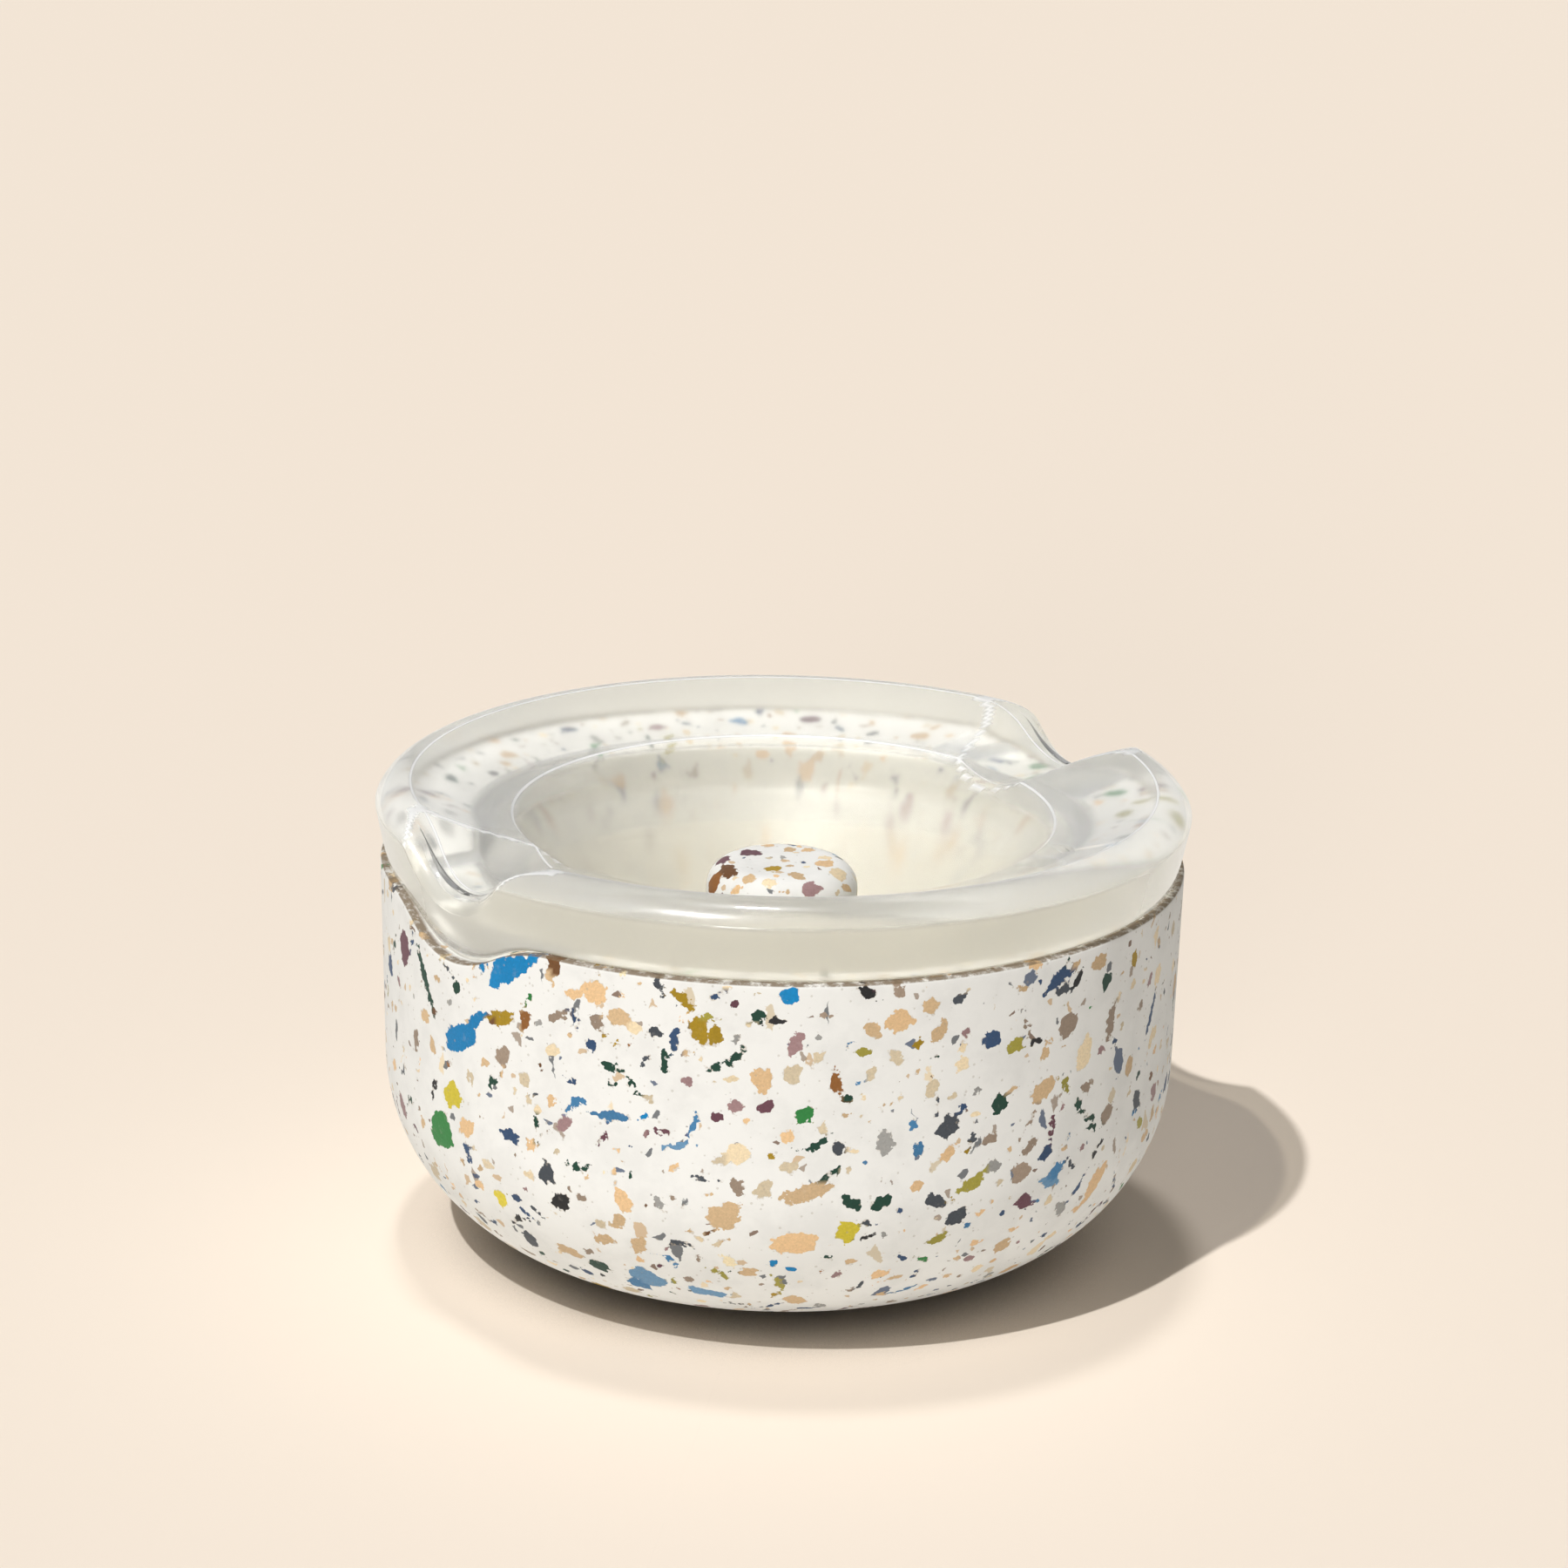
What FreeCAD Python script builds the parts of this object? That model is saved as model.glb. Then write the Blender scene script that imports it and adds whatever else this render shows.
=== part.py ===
import FreeCAD, Part
import Sketcher
import math
import os

# Table ashtray: a terrazzo bowl, a thick glass tray with two rests that lies on its rim, and a stopper
# knob over the tray's drop hole. Origin on the table under the middle of the bowl, +Z up, rests on +X
# and -X. Millimetres and degrees.

SIZES = [
    # Bowl
    ("base_radius", "64.2", "outer radius of the bowl at its rim"),
    ("base_height", "63", "height of the bowl from its underside to its rim"),
    ("base_draft", "1.1", "angle by which the wall leans in towards the foot"),
    ("base_bottom_round", "31", "outer rounding between wall and underside"),
    ("base_wall", "12.2", "thickness of the wall at the rim"),
    ("base_floor", "12", "thickness of the bowl's floor"),
    ("bore_round", "22", "inner rounding between wall and floor"),
    ("rim_round", "0.5", "rounding of the rim's outer edge"),
    # Foot pads
    ("pad_radius", "5", "radius of one pad"),
    ("pad_thickness", "1", "height of the pads"),
    ("pad_inset", "10", "distance from the edge of the flat underside to the middle of a pad"),
    # Glass tray
    ("tray_overhang", "0.8", "by how much the glass stands out past the bowl's rim"),
    ("tray_rise", "12.3", "height of the crest above the bowl's rim"),
    ("tray_side_taper", "1.8", "by how much the side leans in on its way down to the rim"),
    ("shoulder_width", "5.5", "distance from the crest out to the edge above the side"),
    ("shoulder_drop", "3.4", "drop from the crest to that edge"),
    ("shoulder_edge_round", "0.8", "rounding of that edge"),
    ("tray_foot_round", "1", "rounding of the lower outer edge"),
    ("crest_round", "3", "rounding over the crest"),
    ("slope_width", "16.2", "distance from the crest in to the crease at the top of the dish"),
    ("slope_drop", "5.7", "drop from the crest to that crease"),
    ("crease_round", "2", "rounding of the crease"),
    ("dish_drop", "26", "drop from the crest to the floor of the dish"),
    ("dish_margin", "6.9", "distance from the knob to where wall and floor of the dish would meet"),
    ("dish_round", "14", "rounding between wall and floor of the dish"),
    ("glass_floor", "6", "thickness of the glass under the dish"),
    ("belly_margin", "5", "by how much the flat under the dish is wider than the floor above it"),
    ("spigot_clearance", "1", "gap between the glass and the bowl's inner wall"),
    ("spigot_margin", "2", "by how much the glass reaches deeper into the bowl than its lobes do"),
    ("spigot_round", "3", "rounding of the lower edge of that spigot"),
    ("hole_radius", "8", "radius of the drop hole at the floor of the dish"),
    ("hole_taper", "4", "angle by which the drop hole narrows downwards"),
    # Rests, lobes and scoops. Roundness 0 is a straight ramp, 1 is two arcs that meet.
    ("rest_depth", "8", "depth of a rest below the crest"),
    ("rest_half_width", "20", "half the width of a rest with its rounded shoulders"),
    ("rest_roundness", "0.9", "roundness of a rest's flanks"),
    ("lobe_depth", "5.3", "depth of the lobe under a rest below the rim"),
    ("lobe_half_width", "21", "half the width of a lobe with its blends"),
    ("lobe_roundness", "0.8", "roundness of a lobe's flanks"),
    ("scoop_clearance", "0.5", "gap between a lobe and the bottom of its scoop"),
    ("scoop_side_clearance", "1", "gap at each side of a lobe"),
    # Stopper
    ("knob_radius", "12.1", "radius of the knob"),
    ("knob_height", "11.2", "height of the knob"),
    ("knob_top_round", "4.2", "rounding of the knob's top edge"),
    ("knob_foot_round", "1", "rounding of the knob's lower edge"),
    ("socket_radius", "4.5", "radius of the socket in the knob"),
    ("socket_depth", "6", "depth of the socket in the knob"),
    ("socket_clearance", "0.1", "glue gap between the bung's stem and the socket"),
    ("bung_flange_lap", "2", "by how much the bung's flange is wider than the drop hole"),
    ("bung_flange", "1", "thickness of the bung's flange"),
    ("bung_clearance", "0.35", "gap between the bung and the drop hole"),
    ("bung_reach", "5", "length of the bung below the floor of the dish"),
]

doc = FreeCAD.newDocument("TableAshtray")
sheet = doc.addObject("Spreadsheet::Sheet", "Sizes")
for row, (alias, value, meaning) in enumerate(SIZES, start=1):
    sheet.set(f"A{row}", meaning)
    sheet.set(f"B{row}", value)
    sheet.setAlias(f"B{row}", alias)
doc.recompute()


def measure(expression):
    """The number that an expression on the sheet gives."""
    result = sheet.evalExpression(expression)
    return float(getattr(result, "Value", result))


# How far an edge's points may lie from the circle or wall that it is picked by.
NEAR = 0.02
# A sketch's own origin, as a constraint names it.
SKETCH_ORIGIN = (-1, 1)
# Heights and radii that several pieces share, as expressions on the sheet.
ON_AXIS = "0"
RIM = "(Sizes.pad_thickness + Sizes.base_height)"
CREST = f"({RIM} + Sizes.tray_rise)"
DISH = f"({CREST} - Sizes.dish_drop)"
KNOB_FOOT = f"({DISH} + Sizes.bung_flange)"
WALL_LEAN = "tan(Sizes.base_draft)"
WALL_FOOT_RADIUS = f"(Sizes.base_radius - {WALL_LEAN} * Sizes.base_height)"
BORE_RADIUS = "(Sizes.base_radius - Sizes.base_wall)"
SPIGOT_RADIUS = f"({BORE_RADIUS} - Sizes.spigot_clearance)"
TRAY_RADIUS = "(Sizes.base_radius + Sizes.tray_overhang)"
CREST_RADIUS = f"({TRAY_RADIUS} - Sizes.shoulder_width)"


def origin_plane(body, role):
    """One of a body's own origin planes."""
    for feature in body.Origin.OriginFeatures:
        if feature.Role == role:
            return feature


def arc_through(start, end, radius):
    """The minor arc from start to end, bulging to the right of that way for a positive radius."""
    chord = end - start
    middle = (start + end) * 0.5
    to_right = FreeCAD.Vector(chord.y, -chord.x, 0).normalize()
    side = math.copysign(1, radius)
    half = chord.Length / 2
    to_centre = math.sqrt(max(radius * radius - half * half, 0))
    top = middle + to_right * side * (abs(radius) - to_centre)
    return Part.Arc(start, top, end)


def outline(body, name, role, corners, arcs=None):
    """A closed sketch through corners given as pairs of expressions.

    arcs maps the number of a corner to the radius of the arc that leaves it, and to the side to
    which that arc bulges: 1 is right of the way round, -1 is left.
    """
    arcs = arcs or {}
    sketch = body.newObject("Sketcher::SketchObject", name)
    sketch.AttachmentSupport = (origin_plane(body, role), [""])
    sketch.MapMode = "FlatFace"
    points = [FreeCAD.Vector(measure(across), measure(up), 0) for across, up in corners]
    for index, start in enumerate(points):
        end = points[(index + 1) % len(points)]
        if index in arcs:
            radius, side = arcs[index]
            sketch.addGeometry(arc_through(start, end, side * measure(radius)), False)
        else:
            sketch.addGeometry(Part.LineSegment(start, end), False)
    ends = [arc_ends(sketch, index, points[index]) for index in range(len(points))]
    for index, (across, up) in enumerate(corners):
        following = (index + 1) % len(points)
        first = ends[index][0]
        joined = (index, ends[index][1], following, ends[following][0])
        sketch.addConstraint(Sketcher.Constraint("Coincident", *joined))
        for kind, expression in (("DistanceX", across), ("DistanceY", up)):
            place = Sketcher.Constraint(kind, *SKETCH_ORIGIN, index, first, measure(expression))
            number = sketch.addConstraint(place)
            sketch.setExpression(f"Constraints[{number}]", expression)
    for index, (radius, side) in arcs.items():
        number = sketch.addConstraint(Sketcher.Constraint("Radius", index, measure(radius)))
        sketch.setExpression(f"Constraints[{number}]", radius)
    return sketch


def arc_ends(sketch, index, start):
    """The numbers of a piece of outline's first and last point, since arcs always run one way round."""
    first = sketch.getPoint(index, 1)
    if (first - start).Length < NEAR:
        return 1, 2
    return 2, 1


def turned(body, name, corners, arcs=None, kind="PartDesign::Revolution"):
    """An outline turned once round the upright axis."""
    sketch = outline(body, f"{name}Outline", "XZ_Plane", corners, arcs)
    feature = body.newObject(kind, name)
    feature.Profile = sketch
    feature.ReferenceAxis = (sketch, ["V_Axis"])
    feature.Angle = 360
    doc.recompute()
    return feature


def wave(body, name, half_width, depth, roundness, level, cover):
    """A smooth trough across Y: a bottom arc, two flanks and two shoulder arcs, closed at cover.

    level is the height of the surface that the shoulders run out into.
    """
    angle = f"((1 + {roundness}) * atan({depth} / {half_width}))"
    bend = f"(({half_width} * sin({angle}) - {depth} * cos({angle})) / (2 * (1 - cos({angle}))))"
    reach = f"({bend} * sin({angle}))"
    climb = f"({bend} * (1 - cos({angle})))"
    low = f"({level} - {depth} + {climb})"
    high = f"({level} - {climb})"
    corners = [
        (f"-{reach}", low),
        (reach, low),
        (f"{half_width} - {reach}", high),
        (half_width, level),
        (half_width, cover),
        (f"-{half_width}", cover),
        (f"-{half_width}", level),
        (f"{reach} - {half_width}", high),
    ]
    arcs = {0: (bend, 1), 2: (bend, -1), 6: (bend, -1)}
    return outline(body, name, "YZ_Plane", corners, arcs)


def rounded(body, name, base, radius, wanted):
    """A fillet on the edges of a feature that wanted() picks by their points."""
    edges = []
    for number, edge in enumerate(base.Shape.Edges, start=1):
        points = edge.discretize(7)
        if all(wanted(math.hypot(point.x, point.y), point.z) for point in points):
            edges.append(f"Edge{number}")
    if not edges:
        raise RuntimeError(f"{name}: no edge found to round")
    fillet = body.newObject("PartDesign::Fillet", name)
    fillet.Base = (base, edges)
    fillet.setExpression("Radius", radius)
    doc.recompute()
    return fillet


def at_circle(radius, height):
    """A test for the points of one circle round the upright axis."""
    circle = measure(radius)
    level = measure(height)
    return lambda distance, up: abs(distance - circle) < NEAR and abs(up - level) < NEAR


# Bowl: wall, bottom rounding and bore in one turned outline, then the two scoops in the rim.
def build_base():
    body = doc.addObject("PartDesign::Body", "Base")
    body.Label = "terrazzo_base"
    underside = "Sizes.pad_thickness"
    inside = f"({underside} + Sizes.base_floor)"
    corners = [
        (ON_AXIS, underside),
        (WALL_FOOT_RADIUS, underside),
        ("Sizes.base_radius", RIM),
        (BORE_RADIUS, RIM),
        (BORE_RADIUS, inside),
        (ON_AXIS, inside),
    ]
    bowl = turned(body, "Bowl", corners)
    foot_corner = at_circle(WALL_FOOT_RADIUS, underside)
    foot = rounded(body, "BottomRound", bowl, "Sizes.base_bottom_round", foot_corner)
    rounded(body, "BoreRound", foot, "Sizes.bore_round", at_circle(BORE_RADIUS, inside))
    scoop = wave(
        body, "ScoopOutline",
        "(Sizes.lobe_half_width + Sizes.scoop_side_clearance)",
        "(Sizes.lobe_depth + Sizes.scoop_clearance)",
        "Sizes.lobe_roundness", RIM, CREST,
    )
    scoops = body.newObject("PartDesign::Pocket", "RimScoops")
    scoops.Profile = scoop
    scoops.SideType = "Symmetric"
    scoops.setExpression("Length", "4 * Sizes.base_radius")
    doc.recompute()
    lowest = measure(f"{RIM} - 2 * (Sizes.lobe_depth + Sizes.scoop_clearance)")
    outer = measure("Sizes.base_radius")
    draft = measure(WALL_LEAN)
    rim = measure(RIM)
    rounded(
        body, "RimEdge", scoops, "Sizes.rim_round",
        lambda distance, up: up > lowest and abs(distance - outer + draft * (rim - up)) < NEAR,
    )
    return body


# Four pads on the flat underside of the bowl.
def build_pads():
    flat_radius = f"({WALL_FOOT_RADIUS} - Sizes.base_bottom_round)"
    circle_radius = f"({flat_radius} - Sizes.pad_inset)"
    pads = []
    for quarter in range(4):
        pad = doc.addObject("Part::Cylinder", f"Pad{quarter + 1}")
        turn = 45 + 90 * quarter
        pad.setExpression("Radius", "Sizes.pad_radius")
        pad.setExpression("Height", "Sizes.pad_thickness")
        pad.setExpression("Placement.Base.x", f"{circle_radius} * cos({turn})")
        pad.setExpression("Placement.Base.y", f"{circle_radius} * sin({turn})")
        pads.append(pad)
    group = doc.addObject("Part::Compound", "Pads")
    group.Label = "foot_pads"
    group.Links = pads
    return group


# Glass tray: one turned outline, lobes added below, then the two rests cut across the rim.
def build_tray():
    body = doc.addObject("PartDesign::Body", "Tray")
    body.Label = "glass_tray"
    side_rise = "(Sizes.tray_rise - Sizes.shoulder_drop)"
    side_lean = f"(Sizes.tray_side_taper / {side_rise})"
    side_foot_radius = f"({TRAY_RADIUS} - Sizes.tray_side_taper)"
    edge = f"({RIM} + {side_rise})"
    shoulder = "((Sizes.shoulder_width^2 + Sizes.shoulder_drop^2) / (2 * Sizes.shoulder_drop))"
    crease_radius = f"({CREST_RADIUS} - Sizes.slope_width)"
    crease = f"({CREST} - Sizes.slope_drop)"
    floor_radius = "(Sizes.knob_radius + Sizes.dish_margin)"
    belly = f"({DISH} - Sizes.glass_floor)"
    hole_foot_radius = "(Sizes.hole_radius - tan(Sizes.hole_taper) * Sizes.glass_floor)"
    spigot_foot = f"({RIM} - Sizes.lobe_depth - Sizes.spigot_margin)"
    corners = [
        (side_foot_radius, RIM),
        (TRAY_RADIUS, edge),
        (CREST_RADIUS, CREST),
        (crease_radius, crease),
        (floor_radius, DISH),
        ("Sizes.hole_radius", DISH),
        (hole_foot_radius, belly),
        (f"({floor_radius} + Sizes.belly_margin)", belly),
        (SPIGOT_RADIUS, spigot_foot),
        (SPIGOT_RADIUS, RIM),
    ]
    glass = turned(body, "Glass", corners, {1: (shoulder, 1)})
    roundings = [
        ("CrestRound", "Sizes.crest_round", CREST_RADIUS, CREST),
        ("CreaseRound", "Sizes.crease_round", crease_radius, crease),
        ("DishRound", "Sizes.dish_round", floor_radius, DISH),
        ("SpigotRound", "Sizes.spigot_round", SPIGOT_RADIUS, spigot_foot),
        ("EdgeRound", "Sizes.shoulder_edge_round", TRAY_RADIUS, edge),
    ]
    for name, size, circle_radius, level in roundings:
        glass = rounded(body, name, glass, size, at_circle(circle_radius, level))

    lobe_root = f"(0.5 * ({SPIGOT_RADIUS} + {crease_radius}))"
    lobe_top = f"({RIM} + 0.5 * {side_rise})"
    lobe = wave(
        body, "LobeOutline", "Sizes.lobe_half_width", "Sizes.lobe_depth", "Sizes.lobe_roundness",
        RIM, lobe_top,
    )
    lobe.setExpression("AttachmentOffset.Base.z", lobe_root)
    lobe_pad = body.newObject("PartDesign::Pad", "Lobe")
    lobe_pad.Profile = lobe
    lobe_pad.setExpression("Length", f"{TRAY_RADIUS} - {lobe_root}")
    doc.recompute()
    both = body.newObject("PartDesign::Mirrored", "Lobes")
    both.Originals = [lobe_pad]
    both.MirrorPlane = (origin_plane(body, "YZ_Plane"), [""])
    body.Tip = both
    doc.recompute()
    below = "(2 * Sizes.lobe_depth)"
    outside = f"(2 * {TRAY_RADIUS})"
    side_and_beyond = [
        (f"({side_foot_radius} - {side_lean} * {below})", f"({RIM} - {below})"),
        (TRAY_RADIUS, edge),
        (outside, edge),
        (outside, f"({RIM} - {below})"),
    ]
    trim = turned(body, "SideTrim", side_and_beyond, kind="PartDesign::Groove")
    side_radius = measure(side_foot_radius)
    lean = measure(side_lean)
    rim = measure(RIM)
    rounded(
        body, "FootRound", trim, "Sizes.tray_foot_round",
        lambda distance, up: up < rim + NEAR and abs(distance - side_radius - lean * (up - rim)) < NEAR,
    )
    rest = wave(
        body, "RestOutline", "Sizes.rest_half_width", "Sizes.rest_depth", "Sizes.rest_roundness",
        CREST, f"({CREST} + Sizes.rest_depth)",
    )
    rests = body.newObject("PartDesign::Pocket", "Rests")
    rests.Profile = rest
    rests.SideType = "Symmetric"
    rests.setExpression("Length", f"4 * {TRAY_RADIUS}")
    doc.recompute()
    return body


# Stopper: a knob with a socket, and the soft bung whose stem is glued into it.
def build_knob():
    body = doc.addObject("PartDesign::Body", "Knob")
    body.Label = "stopper_knob"
    top = f"({KNOB_FOOT} + Sizes.knob_height)"
    socket_top = f"({KNOB_FOOT} + Sizes.socket_depth)"
    corners = [
        ("Sizes.socket_radius", KNOB_FOOT),
        ("Sizes.knob_radius", KNOB_FOOT),
        ("Sizes.knob_radius", top),
        (ON_AXIS, top),
        (ON_AXIS, socket_top),
        ("Sizes.socket_radius", socket_top),
    ]
    tablet = turned(body, "Tablet", corners)
    crown = rounded(body, "TopRound", tablet, "Sizes.knob_top_round", at_circle("Sizes.knob_radius", top))
    rounded(body, "FootRound", crown, "Sizes.knob_foot_round", at_circle("Sizes.knob_radius", KNOB_FOOT))
    return body


def build_bung():
    body = doc.addObject("PartDesign::Body", "Bung")
    body.Label = "stopper_bung"
    stem_radius = "(Sizes.socket_radius - Sizes.socket_clearance)"
    stem_top = f"({KNOB_FOOT} + Sizes.socket_depth - Sizes.socket_clearance)"
    flange_radius = "(Sizes.hole_radius + Sizes.bung_flange_lap)"
    plug_radius = "(Sizes.hole_radius - Sizes.bung_clearance)"
    plug_foot_radius = f"({plug_radius} - tan(Sizes.hole_taper) * Sizes.bung_reach)"
    plug_foot = f"({DISH} - Sizes.bung_reach)"
    corners = [
        (ON_AXIS, plug_foot),
        (plug_foot_radius, plug_foot),
        (plug_radius, DISH),
        (flange_radius, DISH),
        (flange_radius, KNOB_FOOT),
        (stem_radius, KNOB_FOOT),
        (stem_radius, stem_top),
        (ON_AXIS, stem_top),
    ]
    turned(body, "Plug", corners)
    return body


pieces = [build_base(), build_pads(), build_tray(), build_knob(), build_bung()]
doc.recompute()

for item in doc.Objects:
    if "Invalid" in item.State or "Error" in item.State:
        raise RuntimeError(f"{item.Label} failed: {item.State}")
os.makedirs("parts", exist_ok=True)
for piece in pieces:
    if piece.Shape.isNull() or not piece.Shape.isValid():
        raise RuntimeError(f"{piece.Label} has no valid shape")
for piece in pieces:
    piece.Shape.exportStep(os.path.join("parts", f"{piece.Label}.step"))
    print(piece.Label, len(piece.Shape.Solids), "solids", round(piece.Shape.Volume / 1000, 2), "cm3")
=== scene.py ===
import math
import random
import bmesh
import bpy
import numpy as np
from mathutils import Matrix, Vector
from mathutils.bvhtree import BVHTree
from mathutils.kdtree import KDTree


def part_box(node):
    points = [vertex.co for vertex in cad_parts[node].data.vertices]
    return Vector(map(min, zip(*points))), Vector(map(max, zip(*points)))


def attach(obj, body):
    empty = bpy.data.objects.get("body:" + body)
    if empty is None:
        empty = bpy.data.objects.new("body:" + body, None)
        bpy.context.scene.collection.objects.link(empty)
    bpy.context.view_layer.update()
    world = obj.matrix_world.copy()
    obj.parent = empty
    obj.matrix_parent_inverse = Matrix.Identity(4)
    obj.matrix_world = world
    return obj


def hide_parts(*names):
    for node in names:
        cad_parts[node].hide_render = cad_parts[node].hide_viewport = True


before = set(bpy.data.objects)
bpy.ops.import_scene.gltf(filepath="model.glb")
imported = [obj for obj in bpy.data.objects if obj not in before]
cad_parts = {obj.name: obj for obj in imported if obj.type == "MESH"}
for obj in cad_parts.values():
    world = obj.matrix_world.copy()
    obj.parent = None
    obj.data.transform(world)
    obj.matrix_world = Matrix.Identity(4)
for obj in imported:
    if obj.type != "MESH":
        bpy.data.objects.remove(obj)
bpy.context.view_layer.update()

mm = 0.001
weld = 0.0005   # mm, closes the seams and poles of turned shapes
hair = 0.1      # mm, slack where heights and radii are compared
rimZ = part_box("terrazzo_base")[1].z / mm
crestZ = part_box("glass_tray")[1].z / mm
print("frame: rim at", round(rimZ, 2), "mm, crest at", round(crestZ, 2), "mm")


# Camera: the fitted viewpoint of the photograph
shot = {
    "azimuth": -37.5, "elevation": 17.9, "roll": 1.25,   # degrees, the rests lie on X
    "distance": 732.7, "lens": 105.0, "sensor": 36.0,    # mm
    "imageSize": 1800, "rimPixel": (898.6, 977.4),       # where the middle of the rim is seen
    "nearest": 10.0,                                     # mm, nothing closer is drawn
}
azimuth = math.radians(shot["azimuth"])
rightward = Vector((math.cos(azimuth), math.sin(azimuth), 0))
backward = Vector((-math.sin(azimuth), math.cos(azimuth), 0))


def makeCamera():
    lift = math.radians(shot["elevation"])
    toCamera = -backward * math.cos(lift) + Vector((0, 0, 1)) * math.sin(lift)
    data = bpy.data.cameras.new("photoCamera")
    data.sensor_width = shot["sensor"]
    data.lens = shot["lens"]
    data.shift_x = (shot["imageSize"] / 2 - shot["rimPixel"][0]) / shot["imageSize"]
    data.shift_y = (shot["rimPixel"][1] - shot["imageSize"] / 2) / shot["imageSize"]
    data.clip_start = shot["nearest"] * mm
    camera = bpy.data.objects.new("photoCamera", data)
    bpy.context.collection.objects.link(camera)
    turn = toCamera.to_track_quat("Z", "Y").to_matrix().to_4x4()
    aim = Vector((0, 0, rimZ * mm))
    place = Matrix.Translation(aim + toCamera * shot["distance"] * mm)
    camera.matrix_world = place @ turn @ Matrix.Rotation(math.radians(shot["roll"]), 4, "Z")
    bpy.context.scene.camera = camera
    bpy.context.view_layer.update()
    return camera


def pixelRay(across, down):
    size = shot["imageSize"]
    data = camera.data
    x = (across - size / 2) / size + data.shift_x
    y = (size / 2 - down) / size + data.shift_y
    way = Vector((x * data.sensor_width, y * data.sensor_width, -data.lens))
    return camera.matrix_world.translation, (camera.matrix_world.to_3x3() @ way).normalized()


camera = makeCamera()
print("camera set")


# Shape helpers, all in mm
def roundedOutline(corners, roundSteps, closed):   # corners are (radius, height, rounding)
    points = []
    count = len(corners)
    for index, (x, z, rounding) in enumerate(corners):
        here = Vector((x, z))
        atEnd = not closed and index in (0, count - 1)
        if rounding == 0 or atEnd:
            points.append(here)
            continue
        before = (Vector(corners[index - 1][:2]) - here).normalized()
        after = (Vector(corners[(index + 1) % count][:2]) - here).normalized()
        half = before.angle(after) / 2
        centre = here + (before + after).normalized() * rounding / math.sin(half)
        start = here + before * rounding / math.tan(half) - centre
        end = here + after * rounding / math.tan(half) - centre
        sweep = start.angle_signed(end)
        steps = roundSteps[index]
        for step in range(steps + 1):
            points.append(centre + Matrix.Rotation(-sweep * step / steps, 2) @ start)
    return points


def splitLong(points, spacing, closed):   # spacing gives the longest piece allowed at a point
    fine = []
    last = len(points) if closed else len(points) - 1
    for index in range(last):
        start = points[index]
        end = points[(index + 1) % len(points)]
        pieces = max(1, math.ceil((end - start).length / spacing(start.lerp(end, 0.5))))
        for step in range(pieces):
            fine.append(start.lerp(end, step / pieces))
    if not closed:
        fine.append(points[-1])
    return fine


def spinOutline(points, steps, closed):
    mesh = bmesh.new()
    ring = [mesh.verts.new((point.x, 0, point.y)) for point in points]
    pairs = list(zip(ring, ring[1:]))
    if closed:
        pairs.append((ring[-1], ring[0]))
    edges = [mesh.edges.new(pair) for pair in pairs]
    bmesh.ops.spin(
        mesh, geom=ring + edges, cent=(0, 0, 0), axis=(0, 0, 1), angle=math.tau, steps=steps, use_merge=True,
    )
    bmesh.ops.remove_doubles(mesh, verts=mesh.verts, dist=weld)
    bmesh.ops.recalc_face_normals(mesh, faces=mesh.faces)
    return mesh


def crowdToRests(mesh, amount):   # pulls the columns of a turned mesh together at the rests
    for vert in mesh.verts:
        radius = math.hypot(vert.co.x, vert.co.y)
        angle = math.atan2(vert.co.y, vert.co.x)
        angle -= amount * math.sin(2 * angle)
        vert.co.x = radius * math.cos(angle)
        vert.co.y = radius * math.sin(angle)


def slimTo(vert, radius):
    now = math.hypot(vert.co.x, vert.co.y)
    vert.co.x *= radius / now
    vert.co.y *= radius / now


def wave(y, halfWidth, depth, roundness):   # depth of a trough with rounded bottom and shoulders
    y = abs(y)
    angle = (1 + roundness) * math.atan(depth / halfWidth)
    bend = (halfWidth * math.sin(angle) - depth * math.cos(angle)) / (2 * (1 - math.cos(angle)))
    reach = bend * math.sin(angle)
    if y >= halfWidth:
        return 0.0
    if y <= reach:
        return depth - bend + math.sqrt(bend * bend - y * y)
    if y >= halfWidth - reach:
        return bend - math.sqrt(bend * bend - (halfWidth - y) ** 2)
    return depth - bend * (1 - math.cos(angle)) - (y - reach) * math.tan(angle)


def softMin(a, b, blend):
    near = max(blend - abs(a - b), 0) / blend
    return min(a, b) - near * near * blend / 4


def finishPiece(mesh, name, body, node, material):
    bmesh.ops.scale(mesh, vec=(mm, mm, mm), verts=mesh.verts)
    data = bpy.data.meshes.new(name)
    mesh.to_mesh(data)
    mesh.free()
    data.polygons.foreach_set("use_smooth", [True] * len(data.polygons))
    data.materials.append(material)
    piece = bpy.data.objects.new(name, data)
    bpy.context.collection.objects.link(piece)
    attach(piece, body)
    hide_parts(node)
    print(name, len(data.polygons), "faces")
    return piece


# Material helpers
def newMaterial(name):
    material = bpy.data.materials.new(name)
    material.use_nodes = True
    tree = material.node_tree
    tree.nodes.clear()
    return material, tree


def add(tree, kind, inputs=None, **settings):
    node = tree.nodes.new(kind)
    for name, value in settings.items():
        setattr(node, name, value)
    for name, value in (inputs or {}).items():
        socket = node.inputs[name]
        if isinstance(value, bpy.types.NodeSocket):
            tree.links.new(value, socket)
        else:
            socket.default_value = value
    return node


def maths(tree, operation, a, b=0.0, c=0.0):
    return add(tree, "ShaderNodeMath", {0: a, 1: b, 2: c}, operation=operation).outputs[0]


def scaled(tree, vector, factor):
    return add(tree, "ShaderNodeVectorMath", {0: vector, "Scale": factor}, operation="SCALE").outputs[0]


def mixColour(tree, factor, a, b):
    return add(tree, "ShaderNodeMix", {0: factor, 6: a, 7: b}, data_type="RGBA").outputs[2]


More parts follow.
